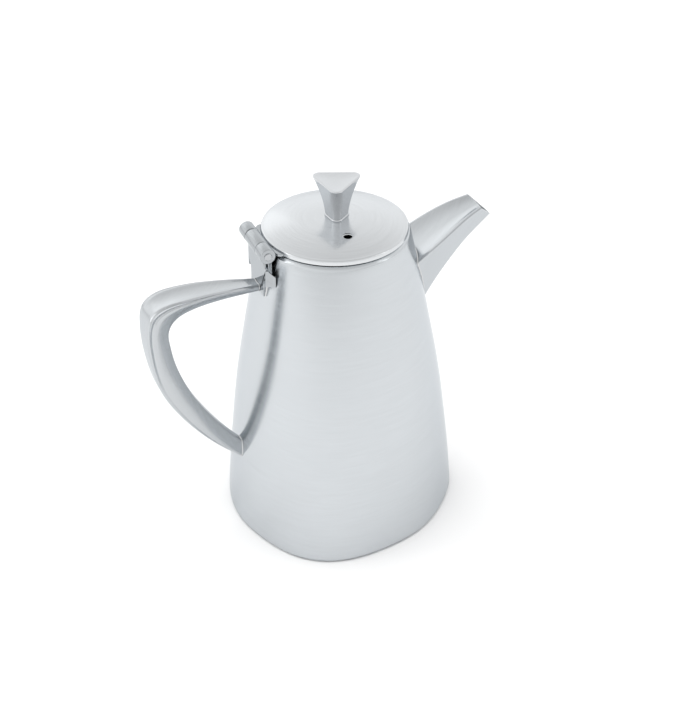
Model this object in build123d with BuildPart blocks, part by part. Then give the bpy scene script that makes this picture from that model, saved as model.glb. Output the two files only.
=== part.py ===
from build123d import *

import os
from collections import namedtuple
from math import cos, hypot, pi, sin, sqrt

# A stainless coffee pot with a hinged lid, a hollow triangular loop handle and a triangular spout.
# Millimetres. +Z is up, the spout points along +X, the handle along -X, and the pot is mirror
# symmetric about Y = 0 apart from the vent hole, the hinge seams and the turned knob. The origin
# is the centre of the flat bottom that it stands on.

os.makedirs("parts", exist_ok=True)

# ---------------------------------------------------------------- driving dimensions

SHEET = 1.0  # sheet of the body, lid and spout
CLEARANCE = 0.3  # gap between parts that move past each other
SEAM = 0.04  # gap at a welded seam between two sheets

# Body: the foot is a rounded triangle with a corner under the spout, and the mouth is nearly
# round. Each level gives height, mean radius and the share of the triangle left in the outline.
Level = namedtuple("Level", "z radius triangle")
LEVELS = [
    Level(0.0, 62.9, 1.00),
    Level(25.0, 61.2, 0.95),
    Level(50.0, 58.9, 0.88),
    Level(80.0, 55.5, 0.79),
    Level(110.0, 50.7, 0.68),
    Level(135.0, 46.4, 0.56),
    Level(155.0, 42.7, 0.42),
    Level(170.8, 39.8, 0.18),
]
CORNER_SWELL = 0.052  # three-lobed part of the outline, as a share of the radius
CORNER_SHARPNESS = 0.0125  # six-lobed part, which flattens the three sides
OUTLINE_POINTS = 18
BODY_TOP = LEVELS[-1].z
FOOT_ROUND = 2.2
SHOULDER_ROUND = 2.2
MOUTH_RADIUS = 36.2
LIP = 1.2  # thickness of the turned-in lip at the mouth and of the bottom
BOTTOM_INSET = 4.0  # from the body's outline to the seam round the base plate

# Lid
LID_RADIUS = 39.0
LID_BOTTOM = BODY_TOP + CLEARANCE
LID_EDGE_TOP = 173.6
LID_CROWN = 5.0
LID_FLAT = 8.0  # radius of the flat in the middle of the crown
LID_EDGE_ROUND = 1.1
SKIRT_RADIUS = 35.0
SKIRT_BOTTOM = 164.5
VENT_CENTRE = (-1.0, -20.8)
VENT_RADIUS = 2.4

# Hinge: its axis runs along Y behind the mouth
HINGE_X = -43.5
HINGE_Z = 172.4
KNUCKLE_RADIUS = 4.2
KNUCKLE_END = 16.4
LID_KNUCKLE_NEAR = -7.3
LID_KNUCKLE_FAR = 7.6
PIN_RADIUS = 1.6
PIN_PLAY = 0.05
PIN_HEAD_RADIUS = 2.1
PIN_HEAD = 0.6
LEAF_HALF_WIDTH = 17.0
LEAF_OUTER_X = HINGE_X + KNUCKLE_RADIUS + 0.4
LEAF_CORNER = 3.0
LEAF_BOTTOM = 171.3
LEAF_SHEET = 1.5

# Hinge bracket: a web under the barrel, two feet beside the handle's end, two wings splayed to the body
BRACKET_SHEET = 1.2
BRACKET_HALF_WIDTH = 12.8
BRACKET_FOOT_HALF_WIDTH = 9.2
BRACKET_TAPER = (158.5, 153.5)  # heights between which the web narrows
BRACKET_BOTTOM = 144.8
FOOT_REACH_X = -39.0
FLANGE_X = -40.4  # free edge of the flanges above the wings
WING_TIP = (-39.6, 16.2)
WING_BOTTOM = 152.8
WING_STEP = (157.6, 162.0)  # heights between which the wing's free edge slopes back to the web
WING_GAP = 0.5  # between the bracket's free edges and the body

# Handle: each station joins a point of the outer edge to a point of the inner edge, both in the
# plane Y = 0, and gives the handle's width along Y at both.
Station = namedtuple("Station", "x_out z_out x_in z_in width_out width_in")
HANDLE = [
    Station(-44.2, 149.0, -44.2, 144.7, 9.0, 5.8),
    Station(-53.0, 150.1, -52.6, 144.9, 12.2, 7.0),
    Station(-64.0, 151.3, -63.0, 144.9, 15.6, 8.2),
    Station(-76.0, 151.9, -74.0, 144.3, 18.8, 9.4),
    Station(-88.0, 151.5, -84.0, 142.6, 20.8, 10.4),
    Station(-98.0, 149.9, -90.6, 139.8, 21.4, 10.8),
    Station(-104.8, 145.6, -94.2, 135.8, 21.2, 10.8),
    Station(-107.6, 137.8, -95.6, 131.0, 20.6, 10.6),
    Station(-107.7, 126.5, -95.2, 125.2, 20.0, 10.2),
    Station(-105.6, 111.5, -93.2, 114.2, 18.8, 9.6),
    Station(-101.6, 96.5, -89.2, 101.6, 17.4, 8.8),
    Station(-94.2, 82.0, -83.4, 88.6, 15.8, 8.0),
    Station(-83.2, 66.6, -74.4, 73.8, 13.6, 7.0),
    Station(-69.4, 51.6, -62.8, 58.2, 11.0, 5.8),
    Station(-53.6, 38.4, -49.2, 44.4, 8.6, 4.8),
]
HANDLE_SHEET = 1.0
HANDLE_OUTER_ROUND = 1.5
HANDLE_REACH = -110.0  # just past the handle's furthest point
SLOT_AT_AXIS = 0.1  # half width of the slot for the closing strip, continued to the body's axis
SLOT_TAPER = 0.034  # by which the slot widens towards the handle's corner
SLOT_STOCK = 0.6  # left on each side of the slot before it is cut to width
STRIP_GAP = 0.08  # between the closing strip and each side of its slot

# Spout: each rib gives the ridges' x, z and half spacing, and the keel's x and z.
Rib = namedtuple("Rib", "x z half_width keel_x keel_z")
SPOUT = [
    Rib(30.0, 143.2, 18.2, 42.0, 94.0),
    Rib(42.0, 150.9, 17.2, 52.8, 113.6),
    Rib(52.2, 157.0, 16.0, 61.4, 127.4),
    Rib(60.4, 161.7, 14.6, 69.8, 138.4),
    Rib(68.2, 165.8, 12.7, 77.8, 147.4),
    Rib(74.8, 168.6, 10.9, 84.8, 153.6),
    Rib(81.0, 170.6, 9.4, 92.0, 159.8),
]
SPOUT_RIDGE_ROUND = 1.2
SPOUT_KEEL_ROUND = 2.4
COVER_INSET = 2.4  # from a ridge to the seam between cover and trough

# Knob: a flared triangle with round corners. Each level gives height, distance from the knob's
# axis to the flat sides, and corner radius.
KNOB_X = 1.2
KNOB_TURN = 8.0  # degrees about Z, from the spout's direction to a corner
KNOB_LEVELS = [(178.6, 4.7, 3.0), (184.0, 5.3, 3.3), (190.0, 6.4, 3.8), (195.5, 7.7, 4.0),
               (200.0, 9.0, 3.9)]
KNOB_EDGE = 0.5
SCREW_RADIUS = 2.5
SCREW_TOP = 191.0  # end of the hole in the knob
SCREW_TIP_ROOM = 1.0
SCREW_PLAY = 0.03
SCREW_HEAD_RADIUS = 4.5
SCREW_HEAD = 2.4
SCREW_SLOT = 1.0
WASHER_RADIUS = 6.0
WASHER = 0.8


# ---------------------------------------------------------------- shared shapes


def body_outline(level, inset=0.0):
    """Points of the body's closed outline at one level, moved inwards by inset."""
    points = []
    for step in range(OUTLINE_POINTS):
        angle = 2 * pi * step / OUTLINE_POINTS
        lobes = CORNER_SWELL * cos(3 * angle) + CORNER_SHARPNESS * cos(6 * angle)
        radius = level.radius * (1 + level.triangle * lobes) - inset
        points.append((radius * cos(angle), radius * sin(angle)))
    return points


def body_sketch(level, z, inset=0.0):
    """The body's outline at one level, as a sketch at height z."""
    with BuildSketch(Plane.XY.offset(z)) as outline:
        with BuildLine():
            Spline(*body_outline(level, inset), periodic=True)
        make_face()
    return outline.sketch


def slanted_plane(x_out, z_out, x_in, z_in):
    """Plane through two points of the plane Y = 0: x runs along Y, y from in to out."""
    across = Vector(0, 1, 0)
    outwards = Vector(x_out - x_in, 0, z_out - z_in)
    return Plane((x_out, 0, z_out), x_dir=across, z_dir=across.cross(outwards))


def station_frame(station):
    """Plane across the handle at one station, and the handle's depth there."""
    plane = slanted_plane(station.x_out, station.z_out, station.x_in, station.z_in)
    return plane, hypot(station.x_out - station.x_in, station.z_out - station.z_in)


def slot_half_width(x):
    """Half width of the slot on the handle's finger side, which widens away from the body."""
    return SLOT_AT_AXIS - SLOT_TAPER * x


def rib_frame(rib):
    """Plane across the spout at one rib, and the spout's depth there."""
    plane = slanted_plane(rib.x, rib.z, rib.keel_x, rib.keel_z)
    return plane, hypot(rib.x - rib.keel_x, rib.z - rib.keel_z)


def mirrored(points):
    """The points, then their mirror images in reverse order: a closed symmetric outline."""
    return points + [(-x, y) for x, y in reversed(points)]


# ---------------------------------------------------------------- body solids used as tools

with BuildPart() as body_solid:
    for level in LEVELS:
        add(body_sketch(level, level.z))
    loft()

with BuildPart() as body_cavity:
    for level in LEVELS:
        add(body_sketch(level, level.z, inset=SHEET))
    loft()
    split(bisect_by=Plane.XY.offset(LIP), keep=Keep.TOP)
    split(bisect_by=Plane.XY.offset(BODY_TOP - LIP), keep=Keep.BOTTOM)

with BuildPart() as body_swollen:
    for level in LEVELS:
        add(body_sketch(level, level.z, inset=-WING_GAP))
    loft()


# ---------------------------------------------------------------- spout


def spout_channel_points(rib, depth):
    """Half outline of the spout's inside, with the slot that the cover closes."""
    slope = hypot(rib.half_width, depth)
    slot = rib.half_width - COVER_INSET
    inner = rib.half_width * (1 - SHEET / depth) - SHEET * slope / depth
    keel = depth - SHEET * slope / rib.half_width
    return slot, inner, keel


with BuildPart() as spout_solid:
    for rib in SPOUT:
        plane, depth = rib_frame(rib)
        with BuildSketch(plane) as section:
            with BuildLine():
                Polyline((0, -depth), (rib.half_width, 0), (-rib.half_width, 0), close=True)
            make_face()
            fillet(section.vertices().group_by(Axis.Y)[-1], SPOUT_RIDGE_ROUND)
            fillet(section.vertices().group_by(Axis.Y)[0], SPOUT_KEEL_ROUND)
    loft()

with BuildPart() as spout_channel:
    for rib in SPOUT:
        plane, depth = rib_frame(rib)
        slot, inner, keel = spout_channel_points(rib, depth)
        with BuildSketch(plane) as section:
            with BuildLine():
                Polyline((0, -keel), (inner, -SHEET), (slot, -SHEET), (slot, SHEET),
                         (-slot, SHEET), (-slot, -SHEET), (-inner, -SHEET), close=True)
            make_face()
            fillet(section.vertices().group_by(Axis.Y)[0], SPOUT_KEEL_ROUND - SHEET)
    loft()

with BuildPart() as spout_bore:
    for rib in SPOUT:
        plane, depth = rib_frame(rib)
        slot, inner, keel = spout_channel_points(rib, depth)
        with BuildSketch(plane) as section:
            with BuildLine():
                Polyline((0, -keel), (inner, -SHEET), (-inner, -SHEET), close=True)
            make_face()
            fillet(section.vertices().group_by(Axis.Y)[0], SPOUT_KEEL_ROUND - SHEET)
    loft()

# The V-shaped underside and cheeks, with a narrow lip along each ridge
with BuildPart() as spout_trough:
    add(spout_solid.part)
    add(spout_channel.part, mode=Mode.SUBTRACT)
    add(body_solid.part, mode=Mode.SUBTRACT)

# The top sheet between the two lips
with BuildPart() as spout_cover:
    for rib in SPOUT:
        plane, depth = rib_frame(rib)
        slot = rib.half_width - COVER_INSET - SEAM
        with BuildSketch(plane):
            with BuildLine():
                Polyline((slot, 0), (slot, -SHEET), (-slot, -SHEET), (-slot, 0), close=True)
            make_face()
    loft()
    add(body_solid.part, mode=Mode.SUBTRACT)


# ---------------------------------------------------------------- body

with BuildPart() as body_shell:
    add(body_solid.part)
    fillet(body_shell.edges().group_by(Axis.Z)[0], FOOT_ROUND)
    fillet(body_shell.edges().group_by(Axis.Z)[-1], SHOULDER_ROUND)
    add(body_cavity.part, mode=Mode.SUBTRACT)
    with BuildSketch(Plane.XY.offset(BODY_TOP)):
        Circle(MOUTH_RADIUS)
    extrude(amount=-2 * LIP, mode=Mode.SUBTRACT)
    add(body_sketch(LEVELS[0], 0, inset=BOTTOM_INSET))
    extrude(amount=2 * LIP, mode=Mode.SUBTRACT)
    add(spout_bore.part, mode=Mode.SUBTRACT)

with BuildPart() as base_plate:
    add(body_sketch(LEVELS[0], 0, inset=BOTTOM_INSET + SEAM))
    extrude(amount=LIP)


# ---------------------------------------------------------------- handle

# Cutter for the handle's lower end: a block that fills the body's flat side there
LOW, HIGH = LEVELS[1], LEVELS[2]
SIDE = 1 - CORNER_SWELL + CORNER_SHARPNESS  # the flat side's distance from the axis, per radius
with BuildPart() as side_block:
    with BuildSketch(Plane((-HIGH.radius * (1 + HIGH.triangle * (SIDE - 1)) - SEAM, 0, HIGH.z),
                           x_dir=(0, 1, 0),
                           z_dir=(HIGH.z - LOW.z, 0, LOW.radius - HIGH.radius))):
        Rectangle(4 * HANDLE[-1].width_out, HIGH.z)
    extrude(amount=HIGH.z / 2)


def finger_band(side_gap, overrun):
    """Band along the handle's finger side, as wide as the slot less side_gap at each side, and one
    sheet thick plus overrun at each face."""
    finger_side, hollow_side = [], []
    for station in HANDLE:
        plane, depth = station_frame(station)
        for edge, y in ((finger_side, -depth - overrun), (hollow_side, HANDLE_SHEET - depth + overrun)):
            point = plane.from_local_coords((0, y, 0))
            edge.append((point.X, point.Z))
    with BuildPart() as band:
        with BuildSketch(Plane.XZ):
            with BuildLine():
                Spline(*finger_side)
                Line(finger_side[-1], hollow_side[-1])
                Spline(*reversed(hollow_side))
                Line(hollow_side[0], finger_side[0])
            make_face()
        extrude(amount=HANDLE[0].width_in, both=True)
        with BuildSketch():
            with BuildLine():
                Polyline(*[(x, side * (slot_half_width(x) - side_gap))
                           for x, side in ((HINGE_X, 1), (HANDLE_REACH, 1), (HANDLE_REACH, -1),
                                           (HINGE_X, -1))], close=True)
            make_face()
        extrude(amount=BODY_TOP, mode=Mode.INTERSECT)
    return band.part


# U-section outer shell, open towards the fingers
with BuildPart() as handle_shell:
    for station in HANDLE:
        plane, depth = station_frame(station)
        outer, inner = station.width_out / 2, station.width_in / 2
        slot = slot_half_width(station.x_in) - SLOT_STOCK
        floor = HANDLE_SHEET - depth
        with BuildSketch(plane) as section:
            with BuildLine():
                Polyline(*mirrored([(outer - HANDLE_SHEET, -HANDLE_SHEET), (inner - HANDLE_SHEET, floor),
                                    (slot, floor), (slot, -depth), (inner, -depth), (outer, 0)]),
                         close=True)
            make_face()
            fillet(section.vertices().group_by(Axis.Y)[-1], HANDLE_OUTER_ROUND)
    loft()
    add(finger_band(0, HANDLE_SHEET / 2), mode=Mode.SUBTRACT)
    add(side_block.part, mode=Mode.SUBTRACT)

# Strip that closes the shell on the finger side
with BuildPart() as handle_inner_strip:
    add(finger_band(STRIP_GAP, 0))
    add(side_block.part, mode=Mode.SUBTRACT)


# ---------------------------------------------------------------- hinge

def wing(side, web_x):
    """The splayed plate on one side of the web, sloped at its upper free edge."""
    run = Vector(*WING_TIP) - Vector(web_x, BRACKET_HALF_WIDTH)
    inward = run.normalized().rotate(Axis.Z, -90) * BRACKET_SHEET
    with BuildPart() as plate:
        with BuildSketch(Plane.XY.offset(WING_BOTTOM)):
            with BuildLine():
                Polyline(*[(x, side * y) for x, y in (
                    (web_x, BRACKET_HALF_WIDTH), WING_TIP,
                    (WING_TIP[0] + inward.X, WING_TIP[1] + inward.Y),
                    (web_x + inward.X, BRACKET_HALF_WIDTH + inward.Y))], close=True)
            make_face()
        extrude(amount=WING_STEP[1] - WING_BOTTOM)
        with BuildSketch(Plane.XZ):
            with BuildLine():
                Polyline((web_x, WING_BOTTOM), (WING_TIP[0] + BRACKET_SHEET, WING_BOTTOM),
                         (WING_TIP[0] + BRACKET_SHEET, WING_STEP[0]), (web_x + BRACKET_SHEET, WING_STEP[1]),
                         (web_x, WING_STEP[1]), close=True)
            make_face()
        extrude(amount=2 * WING_TIP[1], both=True, mode=Mode.INTERSECT)
    return plate.part


with BuildPart() as hinge_bracket:
    half_sheet = BRACKET_SHEET / 2
    with BuildSketch(Plane.YZ.offset(HINGE_X - half_sheet)):
        with BuildLine():
            Polyline(*mirrored([(BRACKET_HALF_WIDTH, HINGE_Z),
                                (BRACKET_HALF_WIDTH, BRACKET_TAPER[0]),
                                (BRACKET_FOOT_HALF_WIDTH, BRACKET_TAPER[1]),
                                (BRACKET_FOOT_HALF_WIDTH, BRACKET_BOTTOM)]), close=True)
        make_face()
    extrude(amount=BRACKET_SHEET)
    web_x = HINGE_X - half_sheet
    for side in (-1, 1):
        with BuildSketch(Plane.XZ.offset(-side * BRACKET_FOOT_HALF_WIDTH)):
            with BuildLine():
                Polyline((web_x, BRACKET_TAPER[0]), (web_x, BRACKET_BOTTOM),
                         (FOOT_REACH_X, BRACKET_BOTTOM), (FOOT_REACH_X, BRACKET_TAPER[0]), close=True)
            make_face()
        extrude(amount=side * BRACKET_SHEET)
        with BuildSketch(Plane.XZ.offset(-side * BRACKET_HALF_WIDTH)):
            with BuildLine():
                Polyline((web_x, HINGE_Z), (web_x, WING_STEP[0]), (FLANGE_X, WING_STEP[0]),
                         (FLANGE_X, HINGE_Z), close=True)
            make_face()
        extrude(amount=side * BRACKET_SHEET)
        add(wing(side, web_x))
    add(body_swollen.part, mode=Mode.SUBTRACT)
    # room for the lid's knuckle, then the two outer knuckles and the bore
    with BuildSketch(Plane.XZ.offset(-LID_KNUCKLE_FAR - CLEARANCE)):
        with Locations((HINGE_X, HINGE_Z)):
            Circle(KNUCKLE_RADIUS + CLEARANCE)
    extrude(amount=LID_KNUCKLE_FAR - LID_KNUCKLE_NEAR + 2 * CLEARANCE, mode=Mode.SUBTRACT)
    for end, length in ((KNUCKLE_END, KNUCKLE_END - LID_KNUCKLE_FAR - CLEARANCE),
                        (LID_KNUCKLE_NEAR - CLEARANCE, KNUCKLE_END + LID_KNUCKLE_NEAR - CLEARANCE)):
        with BuildSketch(Plane.XZ.offset(-end)):
            with Locations((HINGE_X, HINGE_Z)):
                Circle(KNUCKLE_RADIUS)
        extrude(amount=length)
    with BuildSketch(Plane.XZ.offset(-KNUCKLE_END)):
        with Locations((HINGE_X, HINGE_Z)):
            Circle(PIN_RADIUS)
    extrude(amount=2 * KNUCKLE_END, mode=Mode.SUBTRACT)

with BuildPart() as hinge_pin:
    with BuildSketch(Plane.XZ.offset(-KNUCKLE_END)):
        with Locations((HINGE_X, HINGE_Z)):
            Circle(PIN_RADIUS)
    extrude(amount=2 * KNUCKLE_END)
    for end in (KNUCKLE_END + PIN_HEAD, -KNUCKLE_END):
        with BuildSketch(Plane.XZ.offset(-end)):
            with Locations((HINGE_X, HINGE_Z)):
                Circle(PIN_HEAD_RADIUS)
        extrude(amount=PIN_HEAD)
    chamfer(hinge_pin.edges().group_by(Axis.Y)[0], PIN_HEAD / 2)
    chamfer(hinge_pin.edges().group_by(Axis.Y)[-1], PIN_HEAD / 2)

# Crescent plate on the lid's edge, rolled round the pin into the middle knuckle
with BuildPart() as lid_leaf:
    with BuildSketch(Plane.XY.offset(LEAF_BOTTOM)) as plate:
        with BuildLine():
            Polyline((LEAF_OUTER_X, -LEAF_HALF_WIDTH), (-LID_RADIUS / 2, -LEAF_HALF_WIDTH),
                     (-LID_RADIUS / 2, LEAF_HALF_WIDTH), (LEAF_OUTER_X, LEAF_HALF_WIDTH), close=True)
        make_face()
        fillet(plate.vertices().group_by(Axis.X)[0], LEAF_CORNER)
        Circle(LID_RADIUS + SEAM, mode=Mode.SUBTRACT)
    extrude(amount=LEAF_SHEET)
    with BuildSketch(Plane.XY.offset(LEAF_BOTTOM)):
        with BuildLine():
            Polyline((HINGE_X, LID_KNUCKLE_NEAR), (-LID_RADIUS + 2, LID_KNUCKLE_NEAR),
                     (-LID_RADIUS + 2, LID_KNUCKLE_FAR), (HINGE_X, LID_KNUCKLE_FAR), close=True)
        make_face()
        Circle(LID_RADIUS + SEAM, mode=Mode.SUBTRACT)
    extrude(amount=LEAF_SHEET)
    with BuildSketch(Plane.XZ.offset(-LID_KNUCKLE_FAR)):
        with Locations((HINGE_X, HINGE_Z)):
            Circle(KNUCKLE_RADIUS)
    extrude(amount=LID_KNUCKLE_FAR - LID_KNUCKLE_NEAR)
    with BuildSketch(Plane.XZ.offset(-LID_KNUCKLE_FAR)):
        with Locations((HINGE_X, HINGE_Z)):
            Circle(PIN_RADIUS + PIN_PLAY)
    extrude(amount=LID_KNUCKLE_FAR - LID_KNUCKLE_NEAR, mode=Mode.SUBTRACT)


# ---------------------------------------------------------------- lid

CROWN_TOP = LID_EDGE_TOP + LID_CROWN


def crown_drop(radius):
    """How far the lid has dropped from its crown at a distance from its axis."""
    bend = ((LID_RADIUS - LID_FLAT) ** 2 + LID_CROWN ** 2) / (2 * LID_CROWN)
    return bend - sqrt(bend ** 2 - (radius - LID_FLAT) ** 2)


with BuildPart() as lid_cover:
    inner_rim = (LID_RADIUS - SHEET, CROWN_TOP - SHEET - crown_drop(LID_RADIUS - SHEET))
    with BuildSketch(Plane.XZ) as profile:
        with BuildLine():
            Line((0, CROWN_TOP), (LID_FLAT, CROWN_TOP))
            TangentArc((LID_FLAT, CROWN_TOP), (LID_RADIUS, LID_EDGE_TOP), tangent=(1, 0))
            Polyline((LID_RADIUS, LID_EDGE_TOP), (LID_RADIUS, LID_BOTTOM),
                     (LID_RADIUS - SHEET, LID_BOTTOM), inner_rim)
            TangentArc((LID_FLAT, CROWN_TOP - SHEET), inner_rim, tangent=(1, 0))
            Polyline((LID_FLAT, CROWN_TOP - SHEET), (0, CROWN_TOP - SHEET), (0, CROWN_TOP))
        make_face()
        fillet(profile.vertices().sort_by(Axis.X).group_by(Axis.X)[-1].sort_by(Axis.Y)[-1],
               LID_EDGE_ROUND)
    revolve(axis=Axis.Z)
    with Locations((*VENT_CENTRE, CROWN_TOP)):
        Hole(VENT_RADIUS)
    with Locations((KNOB_X, 0, CROWN_TOP)):
        Hole(SCREW_RADIUS + SCREW_PLAY)

with BuildPart() as lid_skirt:
    with BuildSketch(Plane.XY.offset(SKIRT_BOTTOM)):
        Circle(SKIRT_RADIUS)
        Circle(SKIRT_RADIUS - SHEET, mode=Mode.SUBTRACT)
    extrude(amount=CROWN_TOP - SHEET - crown_drop(SKIRT_RADIUS) - SEAM - SKIRT_BOTTOM)
    chamfer(lid_skirt.edges().group_by(Axis.Z)[0].sort_by(SortBy.LENGTH)[-1], SHEET / 3)


# ---------------------------------------------------------------- knob and its fixing

with BuildPart() as knob:
    for z, flat, corner_radius in KNOB_LEVELS:
        with BuildSketch(Plane.XY.offset(z)) as section:
            with Locations((KNOB_X, 0)):
                RegularPolygon(flat, 3, major_radius=False, rotation=KNOB_TURN)
            fillet(section.vertices(), corner_radius)
    loft()
    fillet(knob.faces().sort_by(Axis.Z)[-1].edges(), KNOB_EDGE)
    with BuildSketch(Plane.XY.offset(KNOB_LEVELS[0][0])):
        with Locations((KNOB_X, 0)):
            Circle(SCREW_RADIUS + SCREW_PLAY)
    extrude(amount=SCREW_TOP - KNOB_LEVELS[0][0], mode=Mode.SUBTRACT)

washer_top = CROWN_TOP - SHEET - SEAM
head_top = washer_top - WASHER
with BuildPart() as knob_washer:
    with BuildSketch(Plane.XY.offset(head_top)):
        with Locations((KNOB_X, 0)):
            Circle(WASHER_RADIUS)
            Circle(SCREW_RADIUS + SCREW_PLAY, mode=Mode.SUBTRACT)
    extrude(amount=WASHER)

with BuildPart() as knob_screw:
    with BuildSketch(Plane.XY.offset(head_top - SCREW_HEAD)):
        with Locations((KNOB_X, 0)):
            Circle(SCREW_HEAD_RADIUS)
    extrude(amount=SCREW_HEAD)
    with BuildSketch(Plane.XY.offset(head_top)):
        with Locations((KNOB_X, 0)):
            Circle(SCREW_RADIUS)
    extrude(amount=SCREW_TOP - SCREW_TIP_ROOM - head_top)
    fillet(knob_screw.edges().group_by(Axis.Z)[0], SCREW_HEAD / 4)
    with BuildSketch(Plane.XY.offset(head_top - SCREW_HEAD)):
        with Locations((KNOB_X, 0)):
            Rectangle(3 * SCREW_HEAD_RADIUS, SCREW_SLOT)
    extrude(amount=SCREW_HEAD / 2, mode=Mode.SUBTRACT)


# ---------------------------------------------------------------- write

PIECES = {
    "body_shell": body_shell,
    "base_plate": base_plate,
    "spout_trough": spout_trough,
    "spout_cover": spout_cover,
    "handle_shell": handle_shell,
    "handle_inner_strip": handle_inner_strip,
    "hinge_bracket": hinge_bracket,
    "hinge_pin": hinge_pin,
    "lid_leaf": lid_leaf,
    "lid_cover": lid_cover,
    "lid_skirt": lid_skirt,
    "knob": knob,
    "knob_washer": knob_washer,
    "knob_screw": knob_screw,
}
for name, piece in PIECES.items():
    piece.part.label = name
    export_step(piece.part, f"parts/{name}.step")
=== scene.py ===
from collections import namedtuple
from math import atan2, ceil, copysign, cos, hypot, pi, radians, sin, sqrt

import bpy
import numpy as np
from mathutils import Matrix, Quaternion, Vector


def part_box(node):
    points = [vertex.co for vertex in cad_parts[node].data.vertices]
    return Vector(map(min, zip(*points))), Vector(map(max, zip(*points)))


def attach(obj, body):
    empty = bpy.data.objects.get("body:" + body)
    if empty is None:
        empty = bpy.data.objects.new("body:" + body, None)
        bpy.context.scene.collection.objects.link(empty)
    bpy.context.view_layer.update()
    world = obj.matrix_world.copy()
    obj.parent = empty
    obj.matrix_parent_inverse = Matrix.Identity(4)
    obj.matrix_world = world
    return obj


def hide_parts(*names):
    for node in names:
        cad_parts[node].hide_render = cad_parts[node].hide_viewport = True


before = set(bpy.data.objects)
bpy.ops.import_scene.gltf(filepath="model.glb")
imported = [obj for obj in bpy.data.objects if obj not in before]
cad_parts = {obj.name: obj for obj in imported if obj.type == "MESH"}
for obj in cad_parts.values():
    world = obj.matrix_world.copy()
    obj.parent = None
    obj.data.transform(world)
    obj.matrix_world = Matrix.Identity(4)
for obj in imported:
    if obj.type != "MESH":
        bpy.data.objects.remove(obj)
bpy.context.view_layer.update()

# The stainless coffee pot's visible pieces, in the CAD model's frame: +Z up, the spout along +X, the
# handle along -X. Sizes below are in millimetres; meshes are turned into metres as they are made.
MM = 0.001


def cad(node, corner, axis):
    """One coordinate of a CAD node's box in millimetres: corner 0 is the low one, 1 the high one."""
    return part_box(node)[corner][axis] / MM


# ---------------------------------------------------------------- driving dimensions

X, Y, Z = range(3)
SHEET = 1.0
SEAM = 0.04

# Body: height, mean radius and share of the rounded triangle at each level
Level = namedtuple("Level", "z radius triangle")
LEVELS = [
    Level(0.0, 62.9, 1.00),
    Level(25.0, 61.2, 0.95),
    Level(50.0, 58.9, 0.88),
    Level(80.0, 55.5, 0.79),
    Level(110.0, 50.7, 0.68),
    Level(135.0, 46.4, 0.56),
    Level(155.0, 42.7, 0.42),
    Level(170.8, 39.8, 0.18),
]
CORNER_SWELL = 0.052
CORNER_SHARPNESS = 0.0125
BODY_TOP = cad("body_shell", 1, Z)
FOOT_ROUND = 2.2
SHOULDER_ROUND = 2.2
MOUTH_RADIUS = 36.2
LIP = 1.2
BOTTOM_INSET = 4.0
BODY_COLUMNS = 192
WALL_ROWS = 72

# Lid
LID_RADIUS = cad("lid_cover", 1, X)
LID_BOTTOM = cad("lid_cover", 0, Z)
CROWN_TOP = cad("lid_cover", 1, Z)
LID_CROWN = 5.0
LID_FLAT = 8.0
LID_EDGE_ROUND = 1.1
VENT_CENTRE = (-1.0, -20.8)
VENT_RADIUS = 2.3
VENT_FLARE = 0.4

# Hinge. The seam beside the far knuckle is drawn a little wider than the other one.
HINGE_X = (cad("hinge_pin", 0, X) + cad("hinge_pin", 1, X)) / 2
HINGE_Z = (cad("hinge_pin", 0, Z) + cad("hinge_pin", 1, Z)) / 2
KNUCKLE_RADIUS = cad("hinge_bracket", 1, Z) - HINGE_Z
KNUCKLE_END = cad("hinge_bracket", 1, Y)
LID_KNUCKLE_NEAR = -7.3
LID_KNUCKLE_FAR = 7.5
KNUCKLE_GAP = 0.3
FAR_KNUCKLE_START = 8.1
PIN_RADIUS = 1.6
PIN_HEAD_RADIUS = 2.1
PIN_HEAD = 0.6
BRACKET_SHEET = 1.2
BRACKET_HALF_WIDTH = 12.8
BRACKET_FOOT_HALF_WIDTH = 9.2
BRACKET_TAPER = (158.5, 153.5)
BRACKET_BOTTOM = cad("hinge_bracket", 0, Z)
FOOT_REACH_X = -39.0
WING_TIP = (-39.6, 16.2)
WING_BOTTOM = 152.8
WING_STEP = (157.6, 162.0)
WING_GAP = 0.5
FLANGE_X = -40.4
SPOT_MARK = (-43.5, 156.9)
SPOT_MARK_RADIUS = 0.8
SPOT_MARK_NEAR, SPOT_MARK_FAR = -15.0, -11.0
LEAF_HALF_WIDTH = cad("lid_leaf", 1, Y)
LEAF_CORNER = 3.0
LEAF_BOTTOM = 171.3
LEAF_SHEET = 1.5
LEAF_OUTER_X = HINGE_X + KNUCKLE_RADIUS + 0.4

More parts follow.
